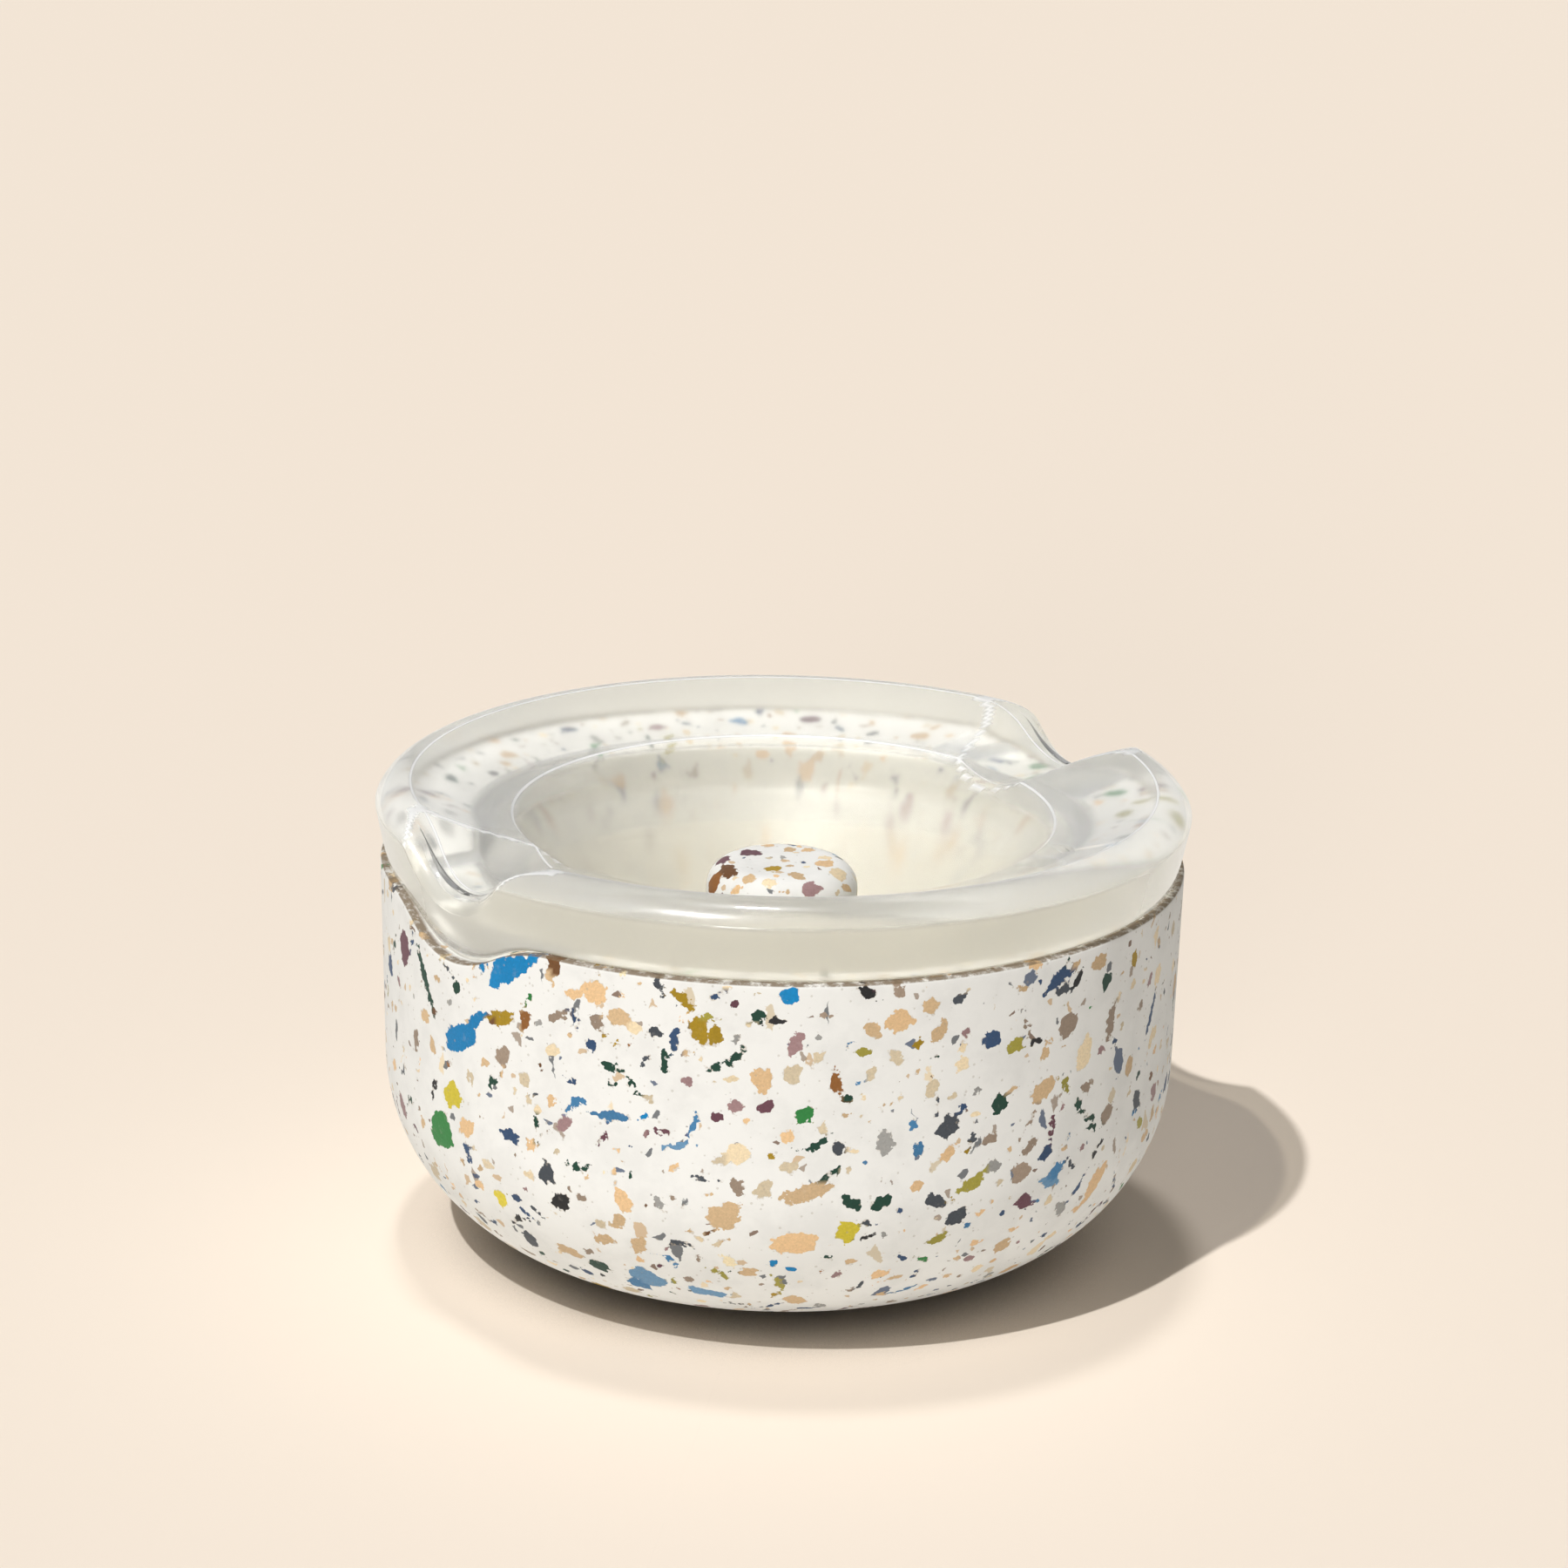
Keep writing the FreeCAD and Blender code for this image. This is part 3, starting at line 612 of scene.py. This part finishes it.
# pixel across and down, width and height in mm, tilt, kind, colour, bend
bowlChips = [
    (587, 1112, 8.0, 4.6, 25, "shard", "cerulean", 0.0), (612, 1100, 4.0, 1.8, 30, "sliver", "cerulean", 0.0),
    (570, 1122, 3.5, 3.0, 60, "shard", "cerulean", 0.0),
    (528, 1190, 8.0, 4.8, 20, "shard", "cerulean", 0.0), (546, 1172, 4.0, 2.4, 50, "shard", "cerulean", 0.0),
    (905, 1144, 3.8, 3.8, 10, "shard", "cerulean", 0.0), (507, 1297, 4.3, 6.6, 5, "pebble", "green", 0.0),
    (519, 1256, 2.8, 5.8, -12, "shard", "yellow", 0.0), (576, 1169, 4.8, 2.8, 20, "shard", "mustard", 0.0),
    (566, 1170, 2.0, 2.0, 0, "pebble", "brown", 0.0), (603, 1171, 2.0, 3.4, 10, "pebble", "rust", 0.0),
    (639, 1166, 3.4, 1.8, 15, "pebble", "taupe", 0.0), (465, 1088, 2.0, 5.8, 8, "pebble", "plum", 0.0),
    (488, 1121, 5.6, 1.8, -62, "shard", "pine", 0.0), (683, 1139, 4.4, 3.8, 0, "pebble", "peach", 0.0),
    (659, 1141, 3.4, 1.6, 0, "pebble", "peach", 0.0), (632, 1117, 1.9, 3.4, -10, "pebble", "tan", 0.0),
    (639, 1100, 3.8, 1.4, -8, "shard", "brown", 0.0), (782, 1146, 5.0, 1.9, -35, "sliver", "mustard", 0.0),
    (803, 1184, 3.2, 5.4, 10, "pebble", "mustard", 0.0), (822, 1190, 2.4, 3.4, 0, "pebble", "mustard", 0.0),
    (812, 1169, 3.6, 1.4, 10, "pebble", "olive", 0.0), (710, 1168, 4.0, 2.8, -10, "pebble", "tan", 0.0),
    (729, 1180, 2.4, 2.4, 0, "pebble", "cream", 0.0), (774, 1193, 1.5, 4.4, -8, "shard", "navy", 0.0),
    (678, 1202, 2.4, 1.9, 30, "shard", "navy", 0.0), (656, 1240, 2.2, 1.5, 0, "shard", "navy", 0.0),
    (585, 1303, 3.4, 2.3, -25, "shard", "navy", 0.0), (700, 1224, 4.2, 1.4, -15, "sliver", "pine", 0.0),
    (723, 1243, 4.2, 1.3, -50, "sliver", "pine", 0.0), (763, 1219, 1.2, 4.0, 0, "sliver", "pine", 0.0),
    (845, 1213, 4.4, 1.6, 40, "sliver", "pine", 0.0), (821, 1225, 3.2, 1.4, 20, "sliver", "pine", 0.0),
    (617, 1294, 1.1, 4.4, 12, "sliver", "pine", 0.0), (876, 1240, 3.6, 4.2, 0, "pebble", "peach", 0.0),
    (703, 1282, 6.8, 2.0, 3, "shard", "denim", 0.0), (661, 1266, 4.6, 1.2, 25, "sliver", "denim", -0.12),
    (795, 1297, 1.2, 4.4, -12, "sliver", "denim", 0.0), (777, 1316, 4.4, 1.2, 10, "sliver", "sky", 0.0),
    (823, 1282, 2.1, 2.1, 0, "pebble", "plum", 0.0), (845, 1271, 2.8, 2.6, 0, "pebble", "mauve", 0.0),
    (879, 1271, 2.9, 2.6, 20, "shard", "plum", 0.0), (628, 1345, 2.8, 5.6, 12, "shard", "charcoal", 0.0),
    (645, 1379, 2.8, 3.6, 20, "shard", "black", 0.0), (575, 1375, 2.3, 3.3, 20, "shard", "yellow", 0.0),
    (848, 1325, 3.8, 3.6, 0, "pebble", "cream", 0.0), (830, 1397, 6.2, 4.0, 30, "pebble", "tan", 0.0),
    (716, 1379, 2.8, 3.8, 25, "pebble", "peach", 0.0), (742, 1467, 6.2, 3.0, -12, "shard", "sky", 0.0),
    (735, 1474, 3.4, 2.0, 60, "shard", "denim", 0.0), (808, 1483, 7.4, 1.5, -12, "shard", "sky", 0.0),
    (654, 1436, 5.0, 1.5, 0, "pebble", "tan", 0.0), (804, 1353, 4.8, 0.9, 0, "sliver", "charcoal", 0.0),
    (757, 1383, 4.4, 1.1, -50, "sliver", "grey", 0.0), (994, 1139, 5.0, 2.0, -28, "shard", "black", 0.0),
    (1032, 1172, 4.8, 3.4, 5, "pebble", "peach", 0.0), (1069, 1155, 2.4, 3.0, 0, "pebble", "tan", 0.0),
    (1080, 1184, 2.4, 4.4, -25, "pebble", "tan", 0.0), (948, 1166, 2.2, 1.5, 0, "pebble", "taupe", 0.0),
    (914, 1198, 2.3, 4.0, -30, "pebble", "mauve", 0.0), (962, 1243, 1.9, 5.2, 20, "shard", "rust", 0.0),
    (1147, 1267, 3.4, 3.8, 0, "shard", "pine", 0.0), (1214, 1125, 6.0, 2.4, 25, "shard", "navy", 0.0),
    (1222, 1136, 2.6, 2.0, 0, "shard", "charcoal", 0.0), (1271, 1125, 2.0, 2.6, 0, "shard", "pine", 0.0),
    (1263, 1105, 2.8, 2.8, 0, "pebble", "tan", 0.0), (1227, 1176, 3.6, 4.2, 10, "pebble", "taupe", 0.0),
    (1166, 1201, 3.4, 2.8, 0, "shard", "olive", 0.0), (1188, 1196, 2.2, 1.5, 0, "shard", "black", 0.0),
    (1200, 1208, 1.5, 4.3, -35, "pebble", "tan", 0.0), (1246, 1208, 2.4, 6.4, -20, "pebble", "cream", 0.0),
    (1275, 1172, 1.5, 5.6, -10, "shard", "taupe", 0.0), (1198, 1251, 4.8, 3.2, 15, "pebble", "tan", 0.0),
    (1016, 1311, 2.8, 4.8, 10, "pebble", "grey", 0.0), (1049, 1292, 1.3, 2.6, 0, "sliver", "denim", 0.0),
    (1054, 1320, 2.0, 3.0, 0, "shard", "denim", 0.0), (962, 1318, 2.3, 2.6, 0, "shard", "charcoal", 0.0),
    (1208, 1292, 1.1, 5.0, 5, "sliver", "plum", 0.0), (1237, 1267, 1.5, 2.0, 40, "shard", "pine", 0.0),
    (1243, 1276, 2.4, 1.2, -20, "sliver", "pine", 0.0), (1251, 1284, 2.4, 1.2, -20, "sliver", "pine", 0.0),
    (1256, 1295, 2.4, 1.2, -20, "sliver", "pine", 0.0), (1118, 1355, 5.6, 2.0, 25, "shard", "olive", 0.0),
    (1099, 1396, 4.4, 2.6, 25, "pebble", "charcoal", 0.0), (1208, 1349, 4.6, 2.6, 40, "shard", "denim", 0.0),
    (1204, 1357, 4.4, 2.0, -30, "shard", "sky", 0.0), (1174, 1380, 3.2, 2.8, 0, "shard", "plum", 0.0),
    (927, 1370, 9.4, 2.6, 18, "pebble", "tan", 0.0), (911, 1428, 7.4, 3.6, 5, "pebble", "peach", 0.0),
    (978, 1381, 4.2, 2.0, -25, "shard", "pine", 0.0), (1010, 1383, 4.0, 2.4, 20, "shard", "pine", 0.0),
    (973, 1414, 3.6, 3.8, 10, "shard", "yellow", 0.0), (1078, 1421, 4.2, 1.7, 10, "shard", "olive", 0.0),
    (1257, 1357, 2.6, 5.8, -35, "pebble", "peach", 0.0), (540, 1236, 1.4, 3.0, 20, "pebble", "sand", 0.0),
    (488, 1166, 1.8, 2.6, 0, "pebble", "tan", 0.0), (556, 1220, 2.2, 1.6, 20, "pebble", "tan", 0.0),
    (602, 1240, 2.2, 2.6, 0, "pebble", "sand", 0.0), (634, 1206, 2.6, 2.0, 10, "pebble", "cream", 0.0),
    (745, 1262, 2.2, 1.6, 0, "pebble", "sand", 0.0), (905, 1304, 3.0, 2.4, 0, "pebble", "peach", 0.0),
    (940, 1216, 1.6, 3.0, -30, "pebble", "sand", 0.0), (1000, 1232, 2.2, 2.4, 0, "pebble", "sand", 0.0),
    (1106, 1222, 2.6, 2.0, 20, "pebble", "cream", 0.0), (1070, 1250, 2.2, 2.8, 0, "pebble", "sand", 0.0),
    (1136, 1308, 2.4, 2.2, 0, "pebble", "taupe", 0.0), (1296, 1224, 1.6, 3.4, 0, "pebble", "tan", 0.0),
    (1305, 1262, 1.4, 4.0, 10, "shard", "charcoal", 0.0), (1322, 1160, 3.6, 1.4, 60, "shard", "navy", 0.0),
    (1180, 1318, 3.4, 1.6, 40, "pebble", "taupe", 0.0), (1142, 1338, 2.0, 2.2, 0, "pebble", "grey", 0.0),
    (860, 1460, 3.0, 1.8, 0, "pebble", "tan", 0.0), (1010, 1462, 3.4, 1.6, 15, "pebble", "peach", 0.0),
    (1150, 1430, 3.0, 1.8, 20, "pebble", "tan", 0.0), (690, 1405, 2.4, 1.8, -10, "pebble", "sand", 0.0),
    (500, 1345, 1.6, 2.8, 0, "pebble", "sand", 0.0), (560, 1336, 1.8, 1.6, 0, "pebble", "sand", 0.0),
    (1052, 1362, 2.2, 2.0, 0, "pebble", "peach", 0.0), (905, 1340, 3.2, 2.2, 10, "pebble", "sand", 0.0),
]


# chips of the rim that show through the glass: angle from +X, radius, length, width, tilt, kind, colour
rimChips = [
    (335, 58, 5.5, 3.6, 20, "shard", "green"), (322, 57, 5.0, 3.4, 0, "pebble", "olive"),
    (300, 58, 5.0, 2.2, 40, "sliver", "denim"), (345, 55, 3.5, 2.4, 10, "pebble", "plum"),
    (312, 60, 3.6, 2.2, 0, "pebble", "rust"), (352, 60, 3.4, 2.2, 0, "shard", "denim"),
    (2, 57, 6.0, 3.6, 80, "shard", "green"), (7, 61, 5.0, 3.0, 70, "shard", "green"),
    (14, 56, 4.0, 2.4, 30, "shard", "navy"), (48, 59, 4.4, 2.8, 0, "pebble", "plum"),
    (61, 58, 4.6, 3.0, 0, "shard", "denim"), (76, 57, 4.0, 2.6, 0, "pebble", "mauve"),
    (92, 60, 4.4, 2.4, 0, "shard", "navy"), (110, 57, 4.0, 2.6, 0, "pebble", "tan"),
    (130, 58, 4.4, 2.8, 30, "shard", "pine"), (142, 60, 5.0, 2.0, 80, "sliver", "plum"),
    (151, 56, 4.0, 2.6, 0, "pebble", "grey"), (165, 60, 4.0, 2.4, 0, "pebble", "taupe"),
    (178, 58, 2.6, 1.8, 0, "pebble", "charcoal"), (185, 56, 2.6, 2.0, 0, "shard", "pine"),
]


def placeRimChips(surface, draw):
    chips = []
    for angle, radius, length, width, tilt, kind, tint in rimChips:
        around = Matrix.Rotation(math.radians(angle), 3, "Z")
        hit, out, face, distance = surface.find_nearest(around @ Vector((radius, 0, rimZ)) * mm)
        across = around @ Matrix.Rotation(math.radians(tilt), 3, "Z") @ Vector((0, 1, 0))
        chips.append(makeChip(draw, hit / mm, out, across, length / 2, width / 2, kind, tint))
    return chips


def makeBowl():
    size = bowlSizes
    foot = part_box("terrazzo_base")[0].z / mm
    lean = math.tan(math.radians(size["draft"]))
    inside = foot + size["floor"]
    corners = [
        (0, foot, 0),
        (size["radius"] - lean * (rimZ - foot), foot, size["bottomRound"]),
        (size["radius"], rimZ, size["rimRound"]),
        (size["bore"], rimZ, size["boreEdge"]),
        (size["bore"], inside, size["boreRound"]),
        (0, inside, 0),
    ]

    def spacing(point):
        onFloor = point.y < inside + hair and point.x < size["flatRadius"]
        if point.y < foot + hair or onFloor:
            return size["flatSpacing"]
        return size["boreSpacing"] if point.x < size["bore"] + hair else size["wallSpacing"]

    outline = splitLong(roundedOutline(corners, size["roundSteps"], False), spacing, False)
    mesh = spinOutline(outline, size["steps"], False)
    shade = mesh.verts.layers.float.new("ledgeShade")
    for vert in mesh.verts:
        radius = math.hypot(vert.co.x, vert.co.y)
        # the outer strip of the rim is marked for painted shade under the glass foot
        onRim = vert.co.z > rimZ - size["ledgeDrop"]
        vert[shade] = float(radius > size["radius"] - size["ledgeShade"] and onRim)
        share = (vert.co.z - rimZ + size["scoopReach"]) / (size["scoopReach"] - size["scoopKeep"])
        share = min(max(share, 0), 1)
        if radius < size["bore"] - size["boreMargin"] or share == 0:
            continue
        drop = share * wave(vert.co.y, size["scoopHalfWidth"], size["scoopDepth"], size["scoopRoundness"])
        vert.co.z -= drop
        if radius > size["radius"] - size["wallBand"]:
            slimTo(vert, radius - lean * drop)
    return finishPiece(mesh, "terrazzoBowl", "base", "terrazzo_base", terrazzo), outline


def dressStone(piece, surface, outline, seenChips, size, draw):   # scattered chips join the seen ones
    setChips(piece, scatterChips(surface, outline, seenChips, draw, size["chipTries"], size["chipCrowd"]))


draw = random.Random(chipLook["seed"])
bowl, bowlOutline = makeBowl()
bowlSurface = surfaceOf(bowl)
bowlSeen = photoChips(bowlSurface, bowlChips, draw) + placeRimChips(bowlSurface, draw)
dressStone(bowl, bowlSurface, bowlOutline, bowlSeen, bowlSizes, draw)


# Glass tray
traySizes = {
    "radius": 65.0, "sideTaper": 1.8, "sideRise": 8.9, "footRound": 1.0, "edgeRound": 0.8,
    "shoulder": (63.3, 5.4), "crest": (59.5, 2.0), "crease": (43.3, 5.7, 1.6),
    "dishFloor": (19.0, 26.0, 14.0), "hole": (8.0, 0.6), "holeTaper": 4.0, "glassFloor": 6.0,
    "belly": (24.0, 4.0), "spigot": (51.0, 7.3, 3.0), "spigotRoot": 0.8, "bed": 0.05,
    "roundSteps": (8, 6, 22, 5, 5, 12, 5, 5, 6, 8, 4), "spacing": 1.2, "steps": 384, "crowd": 0.3,
    "restDepth": 8.0, "restHalfWidth": 20.0, "restRoundness": 0.9, "restBlend": 0.6,
    "lipRound": 3.0, "lipFade": 3.0,           # the lip rounds off in full from this depth of the rest
    "lobeDepth": 5.3, "lobeHalfWidth": 21.0, "lobeRoundness": 0.8,
    "dishKeep": 8.0, "sideBand": 1.5, "underBand": 0.5, "spigotBand": 0.3,   # what the rests leave or bend
    "ringHighlight": 0.2, "ringDrop": 8.0, "grooveHighlight": 0.25,                     # painted highlight lines along the edges
}


def makeTray():
    size = traySizes
    edgeZ = rimZ + size["sideRise"]
    footZ = rimZ - size["bed"]   # a hair into the stone, so that it shows through
    dishZ = crestZ - size["dishFloor"][1]
    bellyZ = dishZ - size["glassFloor"]
    holeFoot = size["hole"][0] - math.tan(math.radians(size["holeTaper"])) * size["glassFloor"]
    footRadius = size["radius"] - size["sideTaper"]
    corners = [
        (footRadius, footZ, size["footRound"]),
        (size["radius"], edgeZ, size["edgeRound"]),
        (size["shoulder"][0], crestZ, size["shoulder"][1]),
        (size["crest"][0], crestZ, size["crest"][1]),
        (size["crease"][0], crestZ - size["crease"][1], size["crease"][2]),
        (size["dishFloor"][0], dishZ, size["dishFloor"][2]),
        (size["hole"][0], dishZ, size["hole"][1]),
        (holeFoot, bellyZ, size["hole"][1]),
        (size["belly"][0], bellyZ, size["belly"][1]),
        (size["spigot"][0], rimZ - size["spigot"][1], size["spigot"][2]),
        (size["spigot"][0], footZ, size["spigotRoot"]),
    ]
    outline = roundedOutline(corners, size["roundSteps"], True)
    mesh = spinOutline(splitLong(outline, lambda point: size["spacing"], True), size["steps"], True)
    crowdToRests(mesh, size["crowd"])
    lean = size["sideTaper"] / size["sideRise"]
    highlightLayer = mesh.verts.layers.float.new("edge")
    for vert in mesh.verts:
        radius = math.hypot(vert.co.x, vert.co.y)
        if radius < size["crease"][0] - size["dishKeep"]:
            continue
        nearest = min(abs(radius - size["crease"][0]), abs(radius - size["crest"][0]))
        # painted highlight lines along the crease and crest rings
        vert[highlightLayer] = float(nearest < size["ringHighlight"] and vert.co.z > crestZ - size["ringDrop"])
        onSide = radius > footRadius - size["sideBand"]
        underside = not onSide and vert.co.z < rimZ + size["underBand"]
        share = 0.0 if underside else 1.0
        top = vert.co.z
        if onSide:
            share = min(max((vert.co.z - rimZ) / size["sideRise"], 0), 1)
            top = max(vert.co.z, edgeZ)
        trough = wave(vert.co.y, size["restHalfWidth"], size["restDepth"], size["restRoundness"])
        lip = max(radius - size["radius"] + size["lipRound"], 0)
        lip = size["lipRound"] - math.sqrt(max(size["lipRound"] ** 2 - lip ** 2, 0))
        beside = max(abs(vert.co.y) - size["restHalfWidth"], 0)
        groove = crestZ - trough - lip * min(trough / size["lipFade"], 1) + beside
        sink = top - softMin(top, groove, size["restBlend"])
        # painted highlight line where the rest meets the rim
        if trough > 0 and share == 1 and abs(top - groove) < size["grooveHighlight"]:
            vert[highlightLayer] = 1.0
        lobe = wave(vert.co.y, size["lobeHalfWidth"], size["lobeDepth"], size["lobeRoundness"])
        if radius < size["spigot"][0] + size["spigotBand"]:
            lobe = 0.0
        drop = share * sink + (1 - share) * lobe
        vert.co.z -= drop
        if onSide:
            slimTo(vert, radius - lean * drop)
    finishPiece(mesh, "glassTray", "tray", "glass_tray", milkyGlass)


makeTray()


# Stopper knob
knobSizes = {
    "radius": 12.1, "topRound": 4.2, "footRound": 1.0, "roundSteps": (0, 5, 14, 0),
    "spacing": 0.5, "steps": 160, "chipTries": 300, "chipCrowd": 0.2,
}
knobChips = [
    (818, 1015, 2.2, 3.9, 10, "pebble", "rust", 0.0), (836, 999, 3.1, 2.5, 20, "pebble", "brown", 0.0),
    (830, 987, 2.9, 1.7, 15, "pebble", "plum", 0.0), (862, 979, 3.7, 1.4, -10, "pebble", "plum", 0.0),
    (888, 997, 3.1, 1.4, -10, "pebble", "mustard", 0.0), (860, 1008, 2.4, 1.7, 0, "pebble", "tan", 0.0),
    (884, 1013, 2.7, 1.6, 0, "pebble", "cream", 0.0), (932, 1020, 3.6, 2.4, 20, "pebble", "mauve", 0.0),
    (946, 992, 3.2, 1.6, -20, "pebble", "peach", 0.0), (963, 1003, 3.0, 2.2, -30, "pebble", "cream", 0.0),
    (915, 1005, 2.3, 1.6, 30, "pebble", "tan", 0.0), (905, 975, 2.4, 1.0, 0, "pebble", "tan", 0.0),
    (928, 976, 2.7, 0.9, 0, "pebble", "peach", 0.0), (972, 1020, 1.7, 1.9, 0, "pebble", "tan", 0.0),
    (845, 1022, 1.9, 1.4, 0, "pebble", "peach", 0.0), (900, 1024, 1.9, 1.2, 0, "pebble", "tan", 0.0),
]


def makeKnob():
    size = knobSizes
    low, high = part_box("stopper_knob")
    corners = [
        (0, low.z / mm, 0),
        (size["radius"], low.z / mm, size["footRound"]),
        (size["radius"], high.z / mm, size["topRound"]),
        (0, high.z / mm, 0),
    ]
    outline = roundedOutline(corners, size["roundSteps"], False)
    outline = splitLong(outline, lambda point: size["spacing"], False)
    mesh = spinOutline(outline, size["steps"], False)
    return finishPiece(mesh, "stopperKnob", "stopper", "stopper_knob", knobTerrazzo), outline


knob, knobOutline = makeKnob()
knobSurface = surfaceOf(knob)
knobSeen = photoChips(knobSurface, knobChips, draw)
dressStone(knob, knobSurface, knobOutline, knobSeen, knobSizes, draw)

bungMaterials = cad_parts["stopper_bung"].data.materials
bungMaterials.clear()
bungMaterials.append(makeSilicone("bungSilicone", siliconeLook["bungTint"]))


# Foot pads
padSizes = {
    "radius": 5.0, "edge": 0.3, "edgeSteps": 4, "circle": 21.99, "segments": 48, "count": 4, "firstTurn": 45,
}


def makePads():
    size = padSizes
    low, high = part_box("foot_pads")
    mesh = bmesh.new()
    for index in range(size["count"]):
        turn = math.radians(size["firstTurn"] + 360 / size["count"] * index)
        middle = Vector((math.cos(turn), math.sin(turn), 0)) * size["circle"]
        middle.z = (low.z + high.z) / 2 / mm
        made = bmesh.ops.create_cone(
            mesh, cap_ends=True, segments=size["segments"], radius1=size["radius"], radius2=size["radius"],
            depth=(high.z - low.z) / mm, matrix=Matrix.Translation(middle),
        )
        lower = [vert for vert in made["verts"] if vert.co.z < middle.z]
        rimEdges = [edge for edge in mesh.edges if edge.verts[0] in lower and edge.verts[1] in lower]
        bmesh.ops.bevel(
            mesh, geom=rimEdges, offset=size["edge"], segments=size["edgeSteps"], profile=0.5,
            affect="EDGES", material=-1,
        )
    bmesh.ops.recalc_face_normals(mesh, faces=mesh.faces)
    padSilicone = makeSilicone("padSilicone", siliconeLook["padTint"])
    finishPiece(mesh, "footPads", "base", "foot_pads", padSilicone)


makePads()


# Floor and light
stageLook = {
    "floor": (0.947, 0.831, 0.708), "floorBounce": (0.88, 0.84, 0.78), "floorReach": 6.0,   # m
    "contactShade": 0.22, "contactReach": 25.0, "contactFade": 0.5, "contactSamples": 8,   # painted contact shadow: the floor darkens close to the bowl
    "fill": 0.10, "sky": (0.54, 0.54, 0.54),
    "key": 2.24, "keyWay": (27, 40, -75), "keySize": 1.2,          # shadow falls right and back
    "top": 0.68, "topWay": (4, -10, -75), "topSize": 5.0,          # short shadow towards the front
    "front": 0.65, "frontWay": (20, 97, -14), "frontSize": 14.0,   # low light on the front
}


def makeFloor():
    look = stageLook
    mesh = bmesh.new()
    bmesh.ops.create_grid(mesh, x_segments=1, y_segments=1, size=look["floorReach"])
    data = bpy.data.meshes.new("floor")
    mesh.to_mesh(data)
    mesh.free()
    material, tree = newMaterial("paleFloor")
    # painted contact shadow: an AO node darkens the floor colour close to the bowl
    inputs = {"Distance": look["contactReach"] * mm}
    near = add(tree, "ShaderNodeAmbientOcclusion", inputs, samples=look["contactSamples"]).outputs["AO"]
    paintedShadow = rgba([part * look["contactShade"] for part in look["floor"]])
    seen = mixColour(tree, ease(tree, near, 0.0, look["contactFade"]), paintedShadow, rgba(look["floor"]))
    cameraRay = add(tree, "ShaderNodeLightPath").outputs["Is Camera Ray"]
    colour = mixColour(tree, cameraRay, rgba(look["floorBounce"]), seen)
    surface = add(tree, "ShaderNodeBsdfDiffuse", {"Color": colour})
    add(tree, "ShaderNodeOutputMaterial", {"Surface": surface.outputs[0]})
    data.materials.append(material)
    floor = bpy.data.objects.new("floor", data)
    bpy.context.collection.objects.link(floor)


def makeSun(name, strength, way, size):
    data = bpy.data.lights.new(name, "SUN")
    data.energy = strength
    data.angle = math.radians(size)
    sun = bpy.data.objects.new(name, data)
    bpy.context.collection.objects.link(sun)
    travel = rightward * way[0] + backward * way[1] + Vector((0, 0, way[2]))
    sun.rotation_euler = (-travel).to_track_quat("Z", "Y").to_euler()


def makeWorld():
    world = bpy.data.worlds.new("studio")
    world.use_nodes = True
    tree = world.node_tree
    tree.nodes.clear()
    path = add(tree, "ShaderNodeLightPath").outputs
    seen = maths(tree, "MAXIMUM", path["Is Camera Ray"], path["Is Glossy Ray"])
    seen = maths(tree, "MAXIMUM", seen, path["Is Transmission Ray"])
    fill = add(tree, "ShaderNodeBackground", {"Color": (1, 1, 1, 1), "Strength": stageLook["fill"]})
    shown = add(tree, "ShaderNodeBackground", {"Color": rgba(stageLook["sky"]), "Strength": 1.0})
    both = add(tree, "ShaderNodeMixShader", {0: seen, 1: fill.outputs[0], 2: shown.outputs[0]})
    add(tree, "ShaderNodeOutputWorld", {"Surface": both.outputs[0]})
    bpy.context.scene.world = world


makeFloor()
for lamp in ("key", "top", "front"):
    makeSun(lamp + "Light", stageLook[lamp], stageLook[lamp + "Way"], stageLook[lamp + "Size"])
makeWorld()
bpy.context.scene.view_settings.view_transform = "Standard"
print("stage and light set")
